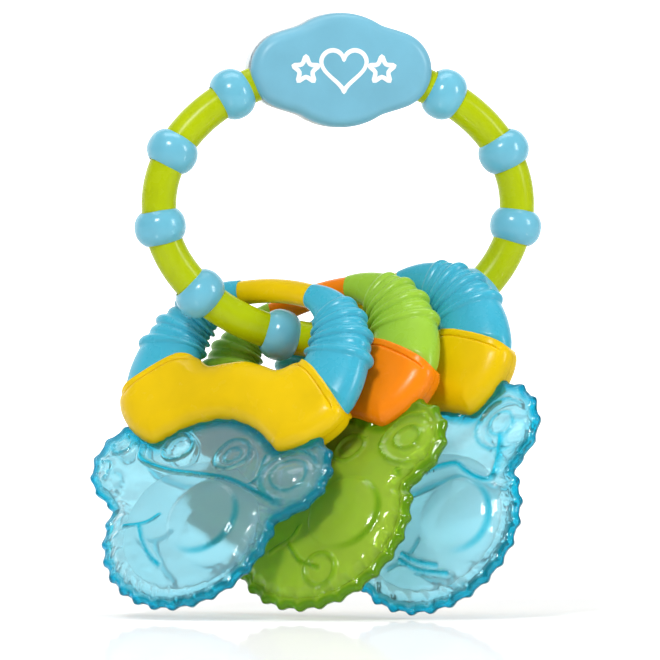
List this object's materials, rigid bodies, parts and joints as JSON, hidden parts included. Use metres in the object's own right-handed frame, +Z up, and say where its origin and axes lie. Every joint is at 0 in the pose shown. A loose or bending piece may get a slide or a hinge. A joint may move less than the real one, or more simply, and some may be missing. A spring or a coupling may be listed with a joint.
{
  "type": "teething ring",
  "caption": "Oval ring with beads and a cloud-shaped clasp, carrying three keys with ribbed grips and gel-filled teethers.",
  "frame": {"origin": "middle of the flat back face of the clasp", "axes": "+Z up along the toy from the keys to the clasp, +Y out of the clasp back, +X to the right seen from the front"},
  "size_m": [0.1119, 0.0706, 0.1457],
  "materials": {
    "lime_plastic": "glossy moulded",
    "sky_plastic": "glossy moulded",
    "white_plastic": "glossy moulded",
    "yellow_plastic": "glossy moulded",
    "orange_plastic": "glossy moulded",
    "blue_grip": "smooth soft-touch",
    "green_grip": "smooth soft-touch",
    "clear_blue_skin": "translucent, moulded relief",
    "clear_green_skin": "translucent, moulded relief",
    "cooling_gel": "clear liquid"
  },
  "bodies": {
    "ring_body": {"ring": "lime_plastic", "bead_left_1": "sky_plastic", "bead_left_2": "sky_plastic", "bead_left_3": "sky_plastic", "bead_left_4": "sky_plastic", "bead_left_5": "sky_plastic", "bead_right_1": "sky_plastic", "bead_right_2": "sky_plastic", "bead_right_3": "sky_plastic", "bead_right_4": "sky_plastic", "bead_right_5": "sky_plastic", "clasp_front_shell": "sky_plastic", "clasp_back_shell": "white_plastic"},
    "key_1": {"key_1_frame": "yellow_plastic", "key_1_cover_front": "yellow_plastic", "key_1_cover_back": "yellow_plastic", "key_1_grip_left": "blue_grip", "key_1_grip_right": "blue_grip", "key_1_skin_front": "clear_blue_skin", "key_1_skin_back": "clear_blue_skin", "key_1_gel": "cooling_gel"},
    "key_2": {"key_2_frame": "orange_plastic", "key_2_cover_front": "orange_plastic", "key_2_cover_back": "orange_plastic", "key_2_grip_left": "green_grip", "key_2_grip_right": "green_grip", "key_2_skin_front": "clear_green_skin", "key_2_skin_back": "clear_green_skin", "key_2_gel": "cooling_gel"},
    "key_3": {"key_3_frame": "yellow_plastic", "key_3_cover_front": "yellow_plastic", "key_3_cover_back": "yellow_plastic", "key_3_grip_left": "blue_grip", "key_3_grip_right": "blue_grip", "key_3_skin_front": "clear_blue_skin", "key_3_skin_back": "clear_blue_skin", "key_3_gel": "cooling_gel"}
  },
  "joints": [
    {"name": "key_1_swing", "type": "hinge", "parent": "ring_body", "child": "key_1", "pos_m": [-0.02188, -0.0065, -0.06184], "axis": [-0.6084, -0.6, 0.5195], "range_deg": [-15, 24]},
    {"name": "key_2_swing", "type": "hinge", "parent": "ring_body", "child": "key_2", "pos_m": [-0.00684, -0.0065, -0.06571], "axis": [-0.6229, -0.6164, 0.4818], "range_deg": [-20, 12]},
    {"name": "key_3_swing", "type": "hinge", "parent": "ring_body", "child": "key_3", "pos_m": [0.00983, -0.0065, -0.06529], "axis": [-0.6532, -0.667, 0.3584], "range_deg": [-20, 20]}
  ]
}
